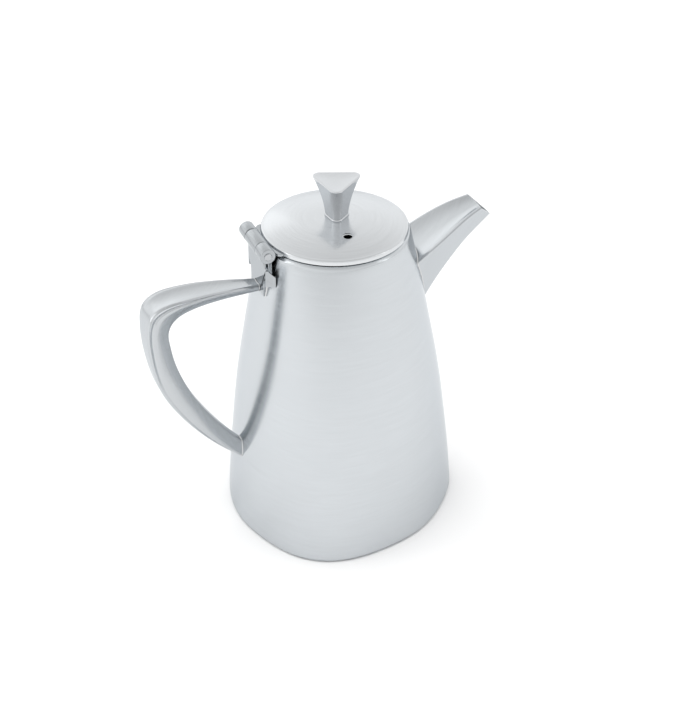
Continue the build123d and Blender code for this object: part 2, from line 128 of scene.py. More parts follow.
# Handle: outer edge, inner edge, width along Y at both, and how far the outer face is sunk
Station = namedtuple("Station", "x_out z_out x_in z_in width_out width_in dish")
HANDLE = [
    Station(-44.2, 149.0, -44.2, 144.7, 9.0, 5.8, 0.5),
    Station(-53.0, 150.1, -52.6, 144.9, 12.2, 7.0, 0.9),
    Station(-64.0, 151.3, -63.0, 144.9, 15.6, 8.2, 1.2),
    Station(-76.0, 151.9, -74.0, 144.3, 18.8, 9.4, 1.3),
    Station(-88.0, 151.5, -84.0, 142.6, 20.8, 10.4, 1.3),
    Station(-98.0, 149.9, -90.6, 139.8, 21.4, 10.8, 1.0),
    Station(-104.8, 145.6, -94.2, 135.8, 21.2, 10.8, 0.5),
    Station(-107.54, 137.8, -95.6, 131.0, 20.6, 10.6, 0.15),
    Station(-107.64, 126.5, -95.2, 125.2, 20.0, 10.2, 0),
    Station(-105.6, 111.5, -93.2, 114.2, 18.8, 9.6, 0),
    Station(-101.6, 96.5, -89.2, 101.6, 17.4, 8.8, 0),
    Station(-94.2, 82.0, -83.4, 88.6, 15.8, 8.0, 0),
    Station(-83.2, 66.6, -74.4, 73.8, 13.6, 7.0, 0),
    Station(-69.4, 51.6, -62.8, 58.2, 11.0, 5.8, 0),
    Station(-53.6, 38.4, -49.2, 44.4, 8.6, 4.8, 0),
]
HANDLE_SHEET = 1.0
HANDLE_OUTER_ROUND = 0.24  # share of the depth
HANDLE_SIDE_BULGE = 0.06  # share of the depth
HANDLE_INNER_ROUND = 0.7
SLOT_SHARE = 0.68

# Spout: ridges' x, z and half spacing, keel's x and z
Rib = namedtuple("Rib", "x z half_width keel_x keel_z")
SPOUT = [
    Rib(30.0, 143.2, 18.2, 42.0, 94.0),
    Rib(42.0, 150.9, 17.2, 52.8, 113.6),
    Rib(52.2, 157.0, 16.0, 61.4, 127.4),
    Rib(60.4, 161.7, 14.6, 69.8, 138.4),
    Rib(68.2, 165.8, 12.7, 77.8, 147.4),
    Rib(74.8, 168.6, 10.9, 84.8, 153.6),
    Rib(81.0, 170.6, 9.4, 92.0, 159.8),
]
SPOUT_RIDGE_ROUND = 0.7
SPOUT_KEEL_ROUND = 2.4
SPOUT_DISH = 1.6
COVER_INSET = 2.4

# Knob: height, distance of the flats from the axis and corner radius at each level
KNOB_X = 1.2
KNOB_TURN = 8.0
KNOB_LEVELS = [(178.6, 4.7, 3.0), (184.0, 5.3, 3.3), (190.0, 6.4, 3.8), (195.5, 7.7, 4.0),
               (200.0, 9.0, 3.9)]
KNOB_TOP = cad("knob", 1, Z)
KNOB_FOOT = cad("knob", 0, Z)
TOP_ROUND = 0.7


# ---------------------------------------------------------------- materials


# How far steel seen edge-on falls short of a perfect mirror
EDGE_TINT = (0.82, 0.835, 0.85, 1.0)


def shader(name, base, roughness, anisotropy, grain_size, grain_bump, wear=0.5):
    """Brushed steel. The grain runs along the mesh's second UV axis, and the first one crosses it."""
    material = bpy.data.materials.new(name)
    material.use_nodes = True
    nodes, links = material.node_tree.nodes, material.node_tree.links
    principled = nodes["Principled BSDF"]
    principled.inputs["Metallic"].default_value = 1.0
    principled.inputs["Anisotropic"].default_value = anisotropy
    principled.inputs["Specular Tint"].default_value = EDGE_TINT

    place = nodes.new("ShaderNodeUVMap")
    place.uv_map = "grain"

    def noise(scale, detail, stretch):
        spread = nodes.new("ShaderNodeMapping")
        spread.inputs["Scale"].default_value = (scale, scale / stretch, 1.0)
        links.new(place.outputs["UV"], spread.inputs["Vector"])
        texture = nodes.new("ShaderNodeTexNoise")
        texture.inputs["Scale"].default_value = 1.0
        texture.inputs["Detail"].default_value = detail
        links.new(spread.outputs["Vector"], texture.inputs["Vector"])
        return texture.outputs["Fac"]

    def blend(kind, first, second):
        node = nodes.new("ShaderNodeMath")
        node.operation = kind
        for socket, value in zip(node.inputs, (first, second)):
            if isinstance(value, (int, float)):
                socket.default_value = value
            else:
                links.new(value, socket)
        return node.outputs["Value"]

    def remap(value, low, high, source=(0.3, 0.7)):
        node = nodes.new("ShaderNodeMapRange")
        node.inputs["From Min"].default_value, node.inputs["From Max"].default_value = source
        node.inputs["To Min"].default_value, node.inputs["To Max"].default_value = low, high
        links.new(value, node.inputs["Value"])
        return node.outputs["Result"]

    fine = noise(1 / (grain_size * MM), 2.0, 60.0)
    coarse = noise(0.2 / (grain_size * MM), 3.0, 25.0)
    handled = nodes.new("ShaderNodeTexNoise")
    where = nodes.new("ShaderNodeTexCoord")
    handled.inputs["Scale"].default_value = 38.0
    handled.inputs["Detail"].default_value = 4.0
    links.new(where.outputs["Object"], handled.inputs["Vector"])

    edges = nodes.new("ShaderNodeNewGeometry")
    worn = remap(edges.outputs["Pointiness"], 0.0, 1.0, (0.52, 0.62))

    # roughness: grain, faint handling marks, and smoother worn edges
    grain = blend("ADD", remap(fine, -0.03, 0.03), remap(coarse, -0.025, 0.025))
    marks = remap(handled.outputs["Fac"], -0.015, 0.02)
    rough = blend("ADD", blend("ADD", grain, marks), roughness)
    rough = blend("SUBTRACT", rough, blend("MULTIPLY", worn, 0.12 * wear))
    links.new(rough, principled.inputs["Roughness"])

    # colour: the grain's fine tone, a trace lighter on worn edges
    tone = blend("ADD", remap(fine, 0.965, 1.03), remap(coarse, -0.022, 0.022))
    tone = blend("ADD", tone, blend("MULTIPLY", worn, 0.08 * wear))
    colour = nodes.new("ShaderNodeVectorMath")
    colour.operation = "SCALE"
    colour.inputs[0].default_value = base
    links.new(tone, colour.inputs["Scale"])
    links.new(colour.outputs["Vector"], principled.inputs["Base Color"])

    relief = nodes.new("ShaderNodeBump")
    relief.inputs["Strength"].default_value = grain_bump
    relief.inputs["Distance"].default_value = 0.004 * MM
    links.new(blend("ADD", fine, coarse), relief.inputs["Height"])
    links.new(relief.outputs["Normal"], principled.inputs["Normal"])

    across = nodes.new("ShaderNodeTangent")
    across.direction_type = "UV_MAP"
    across.uv_map = "grain"
    links.new(across.outputs["Tangent"], principled.inputs["Tangent"])
    return material


BODY_STEEL = shader("body_steel", (0.575, 0.6, 0.62), 0.2, 0.6, 0.3, 0.2)
LID_STEEL = shader("lid_steel", (0.65, 0.668, 0.683), 0.19, 0.6, 0.3, 0.15)
SPOUT_STEEL = shader("spout_steel", (0.53, 0.552, 0.57), 0.2, 0.3, 0.25, 0.06)
HANDLE_STEEL = shader("handle_steel", (0.53, 0.55, 0.567), 0.22, 0.3, 0.25, 0.04)
KNOB_STEEL = shader("knob_steel", (0.62, 0.635, 0.65), 0.2, 0.4, 0.25, 0.3)
HINGE_STEEL = shader("hinge_steel", (0.41, 0.43, 0.445), 0.11, 0.3, 0.25, 0.3, wear=0.1)
PIN_STEEL = shader("pin_steel", (0.47, 0.485, 0.5), 0.15, 0.2, 0.2, 0.3, wear=0.1)
WELD_STEEL = shader("weld_steel", (0.66, 0.66, 0.66), 0.2, 0.0, 0.8, 0.5)
INSIDE_STEEL = shader("inside_steel", (0.56, 0.56, 0.57), 0.33, 0.3, 0.5, 0.4)


# ---------------------------------------------------------------- mesh helpers


def smooth_curve(knots, values):
    """Natural cubic spline through rows of values at the knots."""
    knots = np.array(knots, float)
    values = np.array(values, float)
    count, steps = len(knots), np.diff(knots)
    system, right = np.eye(count), np.zeros_like(values)
    for i in range(1, count - 1):
        system[i, i - 1:i + 2] = steps[i - 1], 2 * (steps[i - 1] + steps[i]), steps[i]
        right[i] = 6 * ((values[i + 1] - values[i]) / steps[i]
                        - (values[i] - values[i - 1]) / steps[i - 1])
    bend = np.linalg.solve(system, right)

    def at(t):
        i = int(np.clip(np.searchsorted(knots, t) - 1, 0, count - 2))
        width, a, b = steps[i], (knots[i + 1] - t) / steps[i], (t - knots[i]) / steps[i]
        curve = (a ** 3 - a) * bend[i] + (b ** 3 - b) * bend[i + 1]
        return a * values[i] + b * values[i + 1] + curve * width ** 2 / 6

    return at


def arc(centre, radius, start, end, steps):
    """Points of a round stretch in a plane, from one angle to another in degrees."""
    turn = [radians(start + (end - start) * i / steps) for i in range(steps + 1)]
    return [(centre[0] + radius * cos(t), centre[1] + radius * sin(t)) for t in turn]


def rounded(corners, radii, arc_steps=5, closed=True):
    """A flat outline whose corners are rounded. A radius of 0 keeps the corner."""
    count, outline = len(corners), []
    for i, (corner, radius) in enumerate(zip(corners, radii)):
        corner = Vector(corner)
        before, after = Vector(corners[i - 1]) - corner, Vector(corners[(i + 1) % count]) - corner
        if not radius:
            outline.append(tuple(corner))
            continue
        before.normalize()
        after.normalize()
        half = before.angle(after) / 2
        reach = radius / np.tan(half)
        centre = corner + (before + after).normalized() * radius / sin(half)
        first, last = corner + before * reach - centre, corner + after * reach - centre
        swing = first.angle_signed(last)
        for step in range(arc_steps + 1):
            turned = first.copy()
            turned.rotate(Matrix.Rotation(-swing * step / arc_steps, 2))
            outline.append(tuple(centre + turned))
    return outline


def finish_piece(name, mesh, body, material, sharp, stands_for):
    mesh.materials.append(material)
    mesh.shade_smooth()
    mesh.set_sharp_from_angle(angle=radians(sharp))
    piece = bpy.data.objects.new(name, mesh)
    bpy.context.scene.collection.objects.link(piece)
    if body:
        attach(piece, body)
        if stands_for:
            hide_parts(*stands_for)
    return piece


def skin(name, rings, body, material, slot="satin_steel", sharp=35, stands_for=(),
         looped=False, capped=True, grain="path", flip=False):
    """A surface over closed rings of points in millimetres. A looped one joins its last ring to its
    first, and the grain runs along the path from ring to ring, or round the ring."""
    count, rows = len(rings[0]), len(rings)
    points = np.array([[tuple(p) for p in ring] for ring in rings], float)
    around = np.zeros((rows, count + 1))
    around[:, 1:] = np.cumsum(np.linalg.norm(np.roll(points, -1, 1) - points, axis=2), axis=1)
    path_step = np.linalg.norm(np.roll(points, -1, 0) - points, axis=2).mean(1)
    along = np.concatenate([[0], np.cumsum(path_step)])
    faces, places = [], []
    for i in range(rows if looped else rows - 1):
        after = (i + 1) % rows
        for j in range(count):
            k = (j + 1) % count
            face = [(i, j), (i, j + 1), (i + 1, j + 1), (i + 1, j)]
            faces.append([i * count + j, i * count + k, after * count + k, after * count + j])
            places.append([(around[row % rows, column], along[row]) for row, column in face])
    if capped and not looped:
        for row, order in ((0, range(count - 1, -1, -1)), (rows - 1, range(count))):
            faces.append([row * count + j for j in order])
            flat = points[row] - points[row].mean(0)
            spread = np.linalg.svd(flat, full_matrices=False)[2]
            places.append([tuple(spread[:2] @ flat[j]) for j in order])
    if flip:
        faces = [face[::-1] for face in faces]
        places = [place[::-1] for place in places]
    mesh = bpy.data.meshes.new(name)
    mesh.from_pydata((points.reshape(-1, 3) * MM).tolist(), [], faces)
    layer = mesh.uv_layers.new(name="grain")
    order = 1 if grain == "path" else -1
    flat_places = [place[::order] for face in places for place in face]
    layer.data.foreach_set("uv", (np.array(flat_places) * MM).ravel())
    mesh.update()
    return finish_piece(name, mesh, body, material, sharp, stands_for)


def revolved(name, profile, body, material, columns=144, axis="Z", centre=(0, 0, 0), **how):
    """A profile of (radius, height) points turned about an axis through centre."""
    rings = []
    for radius, height in profile:
        ring = []
        for j in range(columns):
            a, b = radius * cos(2 * pi * j / columns), radius * sin(2 * pi * j / columns)
            turned = {"Z": (a, b, height), "Y": (b, height, a), "X": (height, a, b)}[axis]
            ring.append([c + t for c, t in zip(centre, turned)])
        rings.append(ring)
    return skin(name, rings, body, material, grain=how.pop("grain", "ring"), **how)


def extruded(name, outline, low, high, body, material, axis="Y", bevel=0.0, **how):
    """A flat outline of points (x, z) drawn out along Y, or of (y, z) along X, or (x, y) along Z."""
    def place(a, b, c):
        return {"Y": (a, c, b), "X": (c, a, b), "Z": (a, b, c)}[axis]

    piece = skin(name, [[place(a, b, height) for a, b in outline] for height in (low, high)],
                 body, material, **how)
    if bevel:
        soften(piece, bevel)
    return piece


def soften(piece, width, steps=3):
    """Rounds a piece's sharp edges."""
    round_off = piece.modifiers.new("edges", "BEVEL")
    round_off.width = width * MM
    round_off.segments = steps
    round_off.limit_method = "ANGLE"
    round_off.angle_limit = radians(40)
    round_off.harden_normals = False
    return piece


def cut(piece, tool, operation="DIFFERENCE", sharp=35):
    """Cuts a piece with a tool solid, and throws the tool away."""
    change = piece.modifiers.new("cut", "BOOLEAN")
    change.object, change.operation, change.solver = tool, operation, "EXACT"
    bpy.context.view_layer.update()
    result = piece.evaluated_get(bpy.context.evaluated_depsgraph_get())
    mesh = bpy.data.meshes.new_from_object(result)
    piece.modifiers.clear()
    piece.data = mesh
    mesh.shade_smooth()
    mesh.set_sharp_from_angle(angle=radians(sharp))
    bpy.data.objects.remove(tool)
    return piece


def tube(name, line, radius, body, material, ring_points=10, closed=True, **how):
    """A bead of round section along a line of points in millimetres."""
    points = [Vector(p) for p in line]
    count, rings = len(points), []
    for i, point in enumerate(points):
        before, after = points[i - 1], points[(i + 1) % count]
        if not closed:
            before, after = points[max(i - 1, 0)], points[min(i + 1, count - 1)]
        run = (after - before).normalized()
        side = run.cross(Vector((0.31, 0.17, 0.94))).normalized()
        up = side.cross(run)
        ring = []
        for j in range(ring_points):
            turn = 2 * pi * j / ring_points
            ring.append(point + radius * (cos(turn) * side + sin(turn) * up))
        rings.append(ring)
    return skin(name, rings, body, material, looped=closed, sharp=60, **how)


# ---------------------------------------------------------------- body

LEVEL_AT = smooth_curve([level.z for level in LEVELS],
                        [[level.radius, level.triangle] for level in LEVELS])


def body_radius(angle, z):
    radius, triangle = LEVEL_AT(z)
    lobes = CORNER_SWELL * cos(3 * angle) + CORNER_SHARPNESS * cos(6 * angle)
    return radius * (1 + triangle * lobes)


def body_ring(z, inset, mouth=0.0):
    """The body's outline at one height, or a share of the way from it to the round mouth."""
    ring = []
    for column in range(BODY_COLUMNS):
        angle = 2 * pi * column / BODY_COLUMNS
        radius = (1 - mouth) * (body_radius(angle, z) - inset) + mouth * (MOUTH_RADIUS + inset)
        ring.append((radius * cos(angle), radius * sin(angle), z))
    return ring


def body_rings(wall_rows=WALL_ROWS, arc_steps=6):
    foot = [(z, inset) for inset, z in arc((FOOT_ROUND, FOOT_ROUND), FOOT_ROUND, 270, 180, arc_steps)]
    low, high = FOOT_ROUND, BODY_TOP - SHOULDER_ROUND
    wall = [(low + (high - low) * i / wall_rows, 0.0) for i in range(1, wall_rows)]
    shoulder_centre = (SHOULDER_ROUND, high)
    shoulder = [(z, inset) for inset, z in arc(shoulder_centre, SHOULDER_ROUND, 180, 90, arc_steps)]
    rings = [body_ring(0, BOTTOM_INSET)] + [body_ring(z, inset) for z, inset in foot + wall + shoulder]
    lip = LIP / 2
    for turn in range(0, 5):
        angle = pi * turn / 4
        rings.append(body_ring(BODY_TOP - lip + lip * cos(angle), lip * (1 - sin(angle)), mouth=1.0))
    inside = [(BODY_TOP - LIP, SHEET)]
    inside += [(z, SHEET) for z in np.linspace(BODY_TOP - LIP - 1, LIP + 1, wall_rows // 2)]
    inside += [(LIP, SHEET + 0.6), (LIP, BOTTOM_INSET)]
    return rings + [body_ring(z, inset) for z, inset in inside]


pot_body = skin("pot_body", body_rings(), "pot", BODY_STEEL, looped=True, grain="ring",
                stands_for=["body_shell"])


def outside_body(point, inset=0.0):
    """How far a point stands out from the body's wall."""
    return hypot(point[0], point[1]) - body_radius(atan2(point[1], point[0]), point[2]) + inset


# ---------------------------------------------------------------- spout

MIDS = [((rib.x + rib.keel_x) / 2, (rib.z + rib.keel_z) / 2) for rib in SPOUT]
SPOUT_KNOTS = np.concatenate([[0], np.cumsum([hypot(b[0] - a[0], b[1] - a[1])
                                              for a, b in zip(MIDS, MIDS[1:])])])
RIB_AT = smooth_curve(SPOUT_KNOTS, SPOUT)
SPOUT_LENGTH = SPOUT_KNOTS[-1]
SPOUT_ROWS = 48
TYPICAL_RIB = (14.0, 26.0)


def spout_point(t, section, column):
    """Point of one rib's section outline, at distance t along the spout."""
    x, z, half_width, keel_x, keel_z = RIB_AT(t)
    depth = hypot(x - keel_x, z - keel_z)
    u, v = section(half_width, depth)[column]
    return Vector((x + (x - keel_x) / depth * v, u, z + (z - keel_z) / depth * v))


def dish(outline, half, depth):
    """Sinks the outline's points near v = 0 or one sheet below it, most in the middle."""
    return [(u, v - depth * (1 - abs(u / half) ** 3) if abs(u) < half and v > -1.6 * SHEET else v)
            for u, v in outline]


def trough_section(half, depth):
    slope = hypot(half, depth)
    seam = half - COVER_INSET
    inner = half * (1 - SHEET / depth) - SHEET * slope / depth
    keel = depth - SHEET * slope / half
    corners = [(seam, 0), (half, 0), (0, -depth), (-half, 0), (-seam, 0), (-seam, -SHEET),
               (-inner, -SHEET), (0, -keel), (inner, -SHEET), (seam, -SHEET)]
    radii = [0.15, SPOUT_RIDGE_ROUND, SPOUT_KEEL_ROUND, SPOUT_RIDGE_ROUND, 0.15, 0,
             0, SPOUT_KEEL_ROUND - SHEET, 0, 0]
    return rounded(corners, radii)


def cover_section(half, depth):
    seam = half - COVER_INSET - SEAM
    corners = [(seam, 0), (seam, -SHEET), (-seam, -SHEET), (-seam, 0)]
    return rounded(corners, [0.15, 0, 0, 0.15], 3)


def bore_section(half, depth):
    slope = hypot(half, depth)
    inner = half * (1 - SHEET / depth) - SHEET * slope / depth
    keel = depth - SHEET * slope / half
    return rounded([(0, -keel), (-inner, -SHEET), (inner, -SHEET)],
                   [SPOUT_KEEL_ROUND - SHEET, 0, 0])


def evenly(section, sizes, longest):
    """The section with extra points. Their number is the same at every size: it is what keeps each
    stretch under longest at the given sizes."""
    def lengths(outline):
        return [hypot(after[0] - point[0], after[1] - point[1])
                for point, after in zip(outline, outline[1:] + outline[:1])]

    counts = [max(1, ceil(length / longest)) for length in lengths(section(*sizes))]

    def even(*now):
        outline = section(*now)
        return [(point[0] + (after[0] - point[0]) * k / parts,
                 point[1] + (after[1] - point[1]) * k / parts)
                for point, after, parts in zip(outline, outline[1:] + outline[:1], counts)
                for k in range(parts)]
    return even


def dished(section, depth_at):
    def sunk(half, depth):
        return dish(section(half, depth), half - COVER_INSET, depth_at)
    return sunk


def root_of(section, column):
    """Distance along the spout at which a line of the outline leaves the body."""
    low, high = 0.0, SPOUT_LENGTH
    for _ in range(28):
        middle = (low + high) / 2
        if outside_body(spout_point(middle, section, column)) > 0:
            high = middle
        else:
            low = middle
    return high


def spout_rings(section, rows=SPOUT_ROWS, from_body=True):
    count = len(section(*TYPICAL_RIB))
    starts = [root_of(section, column) if from_body else 0.0 for column in range(count)]
    rings = []
    for row in range(rows + 1):
        share = row / rows
        rings.append([spout_point(start + (SPOUT_LENGTH - start) * share, section, column)
                      for column, start in enumerate(starts)])
    return rings


trough = evenly(trough_section, TYPICAL_RIB, 1.6)
cover = dished(evenly(cover_section, TYPICAL_RIB, 1.6), SPOUT_DISH)
bore = evenly(bore_section, TYPICAL_RIB, 4.0)

skin("spout_body", spout_rings(trough), "pot", SPOUT_STEEL, flip=True, stands_for=["spout_trough"])
skin("spout_top", spout_rings(cover), "pot", SPOUT_STEEL, flip=False, stands_for=["spout_cover"])
bore_tool = skin("bore_tool", spout_rings(bore, 24, from_body=False), None, INSIDE_STEEL)
cut(pot_body, bore_tool)

# ---------------------------------------------------------------- handle

HANDLE_MIDS = [((s.x_out + s.x_in) / 2, (s.z_out + s.z_in) / 2) for s in HANDLE]
HANDLE_KNOTS = np.concatenate([[0], np.cumsum([hypot(b[0] - a[0], b[1] - a[1])
                                               for a, b in zip(HANDLE_MIDS, HANDLE_MIDS[1:])])])
STATION_AT = smooth_curve(HANDLE_KNOTS, HANDLE)
HANDLE_LENGTH = HANDLE_KNOTS[-1]
HANDLE_ROWS = 120
TYPICAL_STATION = (9.0, 4.6, 13.0)


def handle_shell_section(outer, inner, depth):
    slot = inner * SLOT_SHARE
    floor = HANDLE_SHEET - depth
    corners = [(outer, 0), (inner, -depth), (slot, -depth), (slot, floor),
               (inner - HANDLE_SHEET, floor), (outer - HANDLE_SHEET, -HANDLE_SHEET)]
    mirror = [(-u, v) for u, v in reversed(corners)]
    radii = [HANDLE_OUTER_ROUND * depth, HANDLE_INNER_ROUND, 0.1, 0, 0, 0]
    return rounded(corners + mirror, radii + radii[::-1])


def dished_handle(section):
    """The section with its outer face sunk, most in the middle, and its sides swollen."""
    def sunk(outer, inner, depth, dish_depth=0.0):
        rim = outer - HANDLE_OUTER_ROUND * depth
        points = []
        for u, v in section(outer, inner, depth):
            level = -v / depth
            on_side = abs(u) > outer + (inner - outer) * level - 0.3
            if abs(u) < rim and v > -1.5 * HANDLE_SHEET:
                v -= max(dish_depth, 0) * (1 - abs(u / rim) ** 2.5)
            elif on_side:
                u += copysign(4 * HANDLE_SIDE_BULGE * depth * level * (1 - level), u)
            points.append((u, v))
        return points
    return sunk


def handle_strip_section(outer, inner, depth, dish_depth=0.0):
    slot = inner * SLOT_SHARE - 0.12
    return rounded([(slot, 0.7 * HANDLE_SHEET - depth), (slot, -depth), (-slot, -depth),
                    (-slot, 0.7 * HANDLE_SHEET - depth)], [0, 0.25, 0.25, 0], 3)


def handle_point(t, section, column):
    x_out, z_out, x_in, z_in, width_out, width_in, dish_depth = STATION_AT(t)
    depth = hypot(x_out - x_in, z_out - z_in)
    u, v = section(width_out / 2, width_in / 2, depth, dish_depth)[column]
    return Vector((x_out + (x_out - x_in) / depth * v, u, z_out + (z_out - z_in) / depth * v))


def handle_end(section, column):
    """Distance along the handle at which a line of the outline reaches the body at the lower end."""
    low, high = 0.8 * HANDLE_LENGTH, HANDLE_LENGTH
    for _ in range(28):
        middle = (low + high) / 2
        if outside_body(handle_point(middle, section, column)) > SEAM:
            low = middle
        else:
            high = middle
    return low


def handle_rings(section):
    count = len(section(*TYPICAL_STATION))
    ends = [handle_end(section, column) for column in range(count)]
    return [[handle_point(end * row / HANDLE_ROWS, section, column)
             for column, end in enumerate(ends)] for row in range(HANDLE_ROWS + 1)]


handle_outline = dished_handle(evenly(handle_shell_section, TYPICAL_STATION, 1.3))
skin("handle_body", handle_rings(handle_outline), "pot", HANDLE_STEEL,
     stands_for=["handle_shell"], flip=True)
skin("handle_strip", handle_rings(handle_strip_section), "pot", HANDLE_STEEL,
     stands_for=["handle_inner_strip"], flip=True)

# ---------------------------------------------------------------- lid

LID_COLUMNS = 192


def crown_drop(radius):
    """How far the lid has dropped from its crown at a distance from its axis."""
    bend = ((LID_RADIUS - LID_FLAT) ** 2 + LID_CROWN ** 2) / (2 * LID_CROWN)
    return bend - sqrt(bend ** 2 - max(radius - LID_FLAT, 0) ** 2)


def lid_profile():
    """Half outline from the centre of the crown round the rim to the centre of the underside."""
    flat_end = LID_RADIUS - LID_EDGE_ROUND
    top = [(r, CROWN_TOP - crown_drop(r)) for r in np.linspace(0.6, flat_end - 0.3, 40)]
    rim_z = CROWN_TOP - crown_drop(flat_end - 0.3) - LID_EDGE_ROUND
    rim = arc((flat_end, rim_z), LID_EDGE_ROUND, 76, 0, 7)
    edge = [(LID_RADIUS, LID_BOTTOM + 0.25), (LID_RADIUS - 0.25, LID_BOTTOM),
            (LID_RADIUS - SHEET, LID_BOTTOM),
            (LID_RADIUS - SHEET, CROWN_TOP - SHEET - crown_drop(LID_RADIUS - SHEET))]
    under = [(r, CROWN_TOP - SHEET - crown_drop(r)) for r in np.linspace(LID_RADIUS - 3, 0.6, 16)]
    return top + rim + edge + under


lid_cover = revolved("lid_top", lid_profile(), "lid", LID_STEEL, LID_COLUMNS,
                     stands_for=["lid_cover"], flip=True)
VENT_TOP = CROWN_TOP - crown_drop(hypot(*VENT_CENTRE))
flare = [(VENT_RADIUS, VENT_TOP - 3 * SHEET)]
flare += [(VENT_RADIUS + VENT_FLARE * (1 - cos(t)), VENT_TOP - 0.08 - VENT_FLARE * (1 - sin(t)))
          for t in np.linspace(0, pi / 2, 5)]
flare += [(VENT_RADIUS + VENT_FLARE, VENT_TOP + 2)]
vent_tool = revolved("vent_tool", flare, None, LID_STEEL, 32, centre=(*VENT_CENTRE, 0))
cut(lid_cover, vent_tool)

# ---------------------------------------------------------------- knob

KNOB_AT = smooth_curve([level[0] for level in KNOB_LEVELS], [level[1:] for level in KNOB_LEVELS])
CORNER_STEPS = 12
SIDE_PARTS = 8


def knob_ring(z, shrink=0.0):
    flat, corner_radius = KNOB_AT(min(z, KNOB_TOP))
    flat, corner_radius = flat - shrink, corner_radius - shrink
    corners = []
    for corner in range(3):
        turn = radians(KNOB_TURN + 120 * corner)
        corners.append((KNOB_X + 2 * flat * cos(turn), 2 * flat * sin(turn)))
    outline = rounded(corners, [corner_radius] * 3, CORNER_STEPS)
    points = []
    for i, point in enumerate(outline):
        after = outline[(i + 1) % len(outline)]
        parts = SIDE_PARTS if i % (CORNER_STEPS + 1) == CORNER_STEPS else 1
        points += [(point[0] + (after[0] - point[0]) * k / parts,
                    point[1] + (after[1] - point[1]) * k / parts) for k in range(parts)]
    return [(x, y, z) for x, y in points]


knob_rings = [knob_ring(z) for z in np.linspace(KNOB_FOOT, KNOB_TOP - TOP_ROUND, 26)]
knob_rings += [knob_ring(KNOB_TOP - TOP_ROUND + TOP_ROUND * sin(t), TOP_ROUND * (1 - cos(t)))
               for t in np.linspace(0, pi / 2, 6)[1:]]
inner_top = [knob_rings[-1]]
for share in (0.9, 0.7, 0.45, 0.2, 0.05):
    sunk = 0.5 * (1 - share ** 2)
    inner_top.append([(KNOB_X + (x - KNOB_X) * share, y * share, KNOB_TOP - sunk)
                      for x, y, z in knob_rings[-1]])
skin("knob_body", knob_rings + inner_top[1:], "lid", KNOB_STEEL, "polished_steel",
     stands_for=["knob"])

# ---------------------------------------------------------------- hinge


def knuckle_profile(near, far, soft=0.35):
    rise = arc((KNUCKLE_RADIUS - soft, near + soft), soft, -90, 0, 4)
    fall = arc((KNUCKLE_RADIUS - soft, far - soft), soft, 0, 90, 4)
    return [(PIN_RADIUS + 0.1, near)] + rise + fall + [(PIN_RADIUS + 0.1, far)]


def knuckle(name, near, far, body):
    return revolved(name, knuckle_profile(near, far), body, HINGE_STEEL, 64, axis="Y",
                    centre=(HINGE_X, 0, HINGE_Z), looped=True, flip=True)


knuckle("hinge_knuckle_near", -KNUCKLE_END, LID_KNUCKLE_NEAR - KNUCKLE_GAP, "pot")
knuckle("hinge_knuckle_far", FAR_KNUCKLE_START, KNUCKLE_END, "pot")
knuckle("lid_knuckle", LID_KNUCKLE_NEAR, LID_KNUCKLE_FAR, "lid")

PIN_CHAMFER = PIN_HEAD / 2
pin_head = [(0.3, PIN_HEAD), (PIN_HEAD_RADIUS - PIN_CHAMFER, PIN_HEAD),
            (PIN_HEAD_RADIUS, PIN_HEAD - PIN_CHAMFER), (PIN_HEAD_RADIUS, 0.02), (PIN_RADIUS, 0.02)]
pin_profile = [(r, -KNUCKLE_END - h) for r, h in pin_head]
pin_profile += [(r, KNUCKLE_END + h) for r, h in reversed(pin_head)]
revolved("pin_rod", pin_profile, "pot", PIN_STEEL, 48, axis="Y", centre=(HINGE_X, 0, HINGE_Z),
         slot="bright_steel", stands_for=["hinge_pin"], flip=True)


def bracket_part(outline, low, high, axis):
    return extruded("bracket_part", outline, low, high, None, HINGE_STEEL, axis=axis)


def wing(side):
    """The splayed plate on one side of the web, sloped at its upper free edge."""
    run = Vector(WING_TIP) - Vector((WEB_X, BRACKET_HALF_WIDTH))
    inward = Vector((run.y, -run.x)).normalized() * BRACKET_SHEET
    corners = [(WEB_X, BRACKET_HALF_WIDTH), WING_TIP, tuple(Vector(WING_TIP) + inward),
               tuple(Vector((WEB_X, BRACKET_HALF_WIDTH)) + inward)]
    plan = [(x, side * y) for x, y in corners][::-side]
    far = WING_TIP[0] + BRACKET_SHEET
    profile = [(WEB_X - 0.1, WING_BOTTOM), (far, WING_BOTTOM), (far, WING_STEP[0]),
               (WEB_X + BRACKET_SHEET, WING_STEP[1]), (WEB_X - 0.1, WING_STEP[1])]
    plate = bracket_part(plan, WING_BOTTOM - 1, WING_STEP[1] + 1, "Z")
    return cut(plate, bracket_part(profile[::-1], -20, 20, "Y"), "INTERSECT")


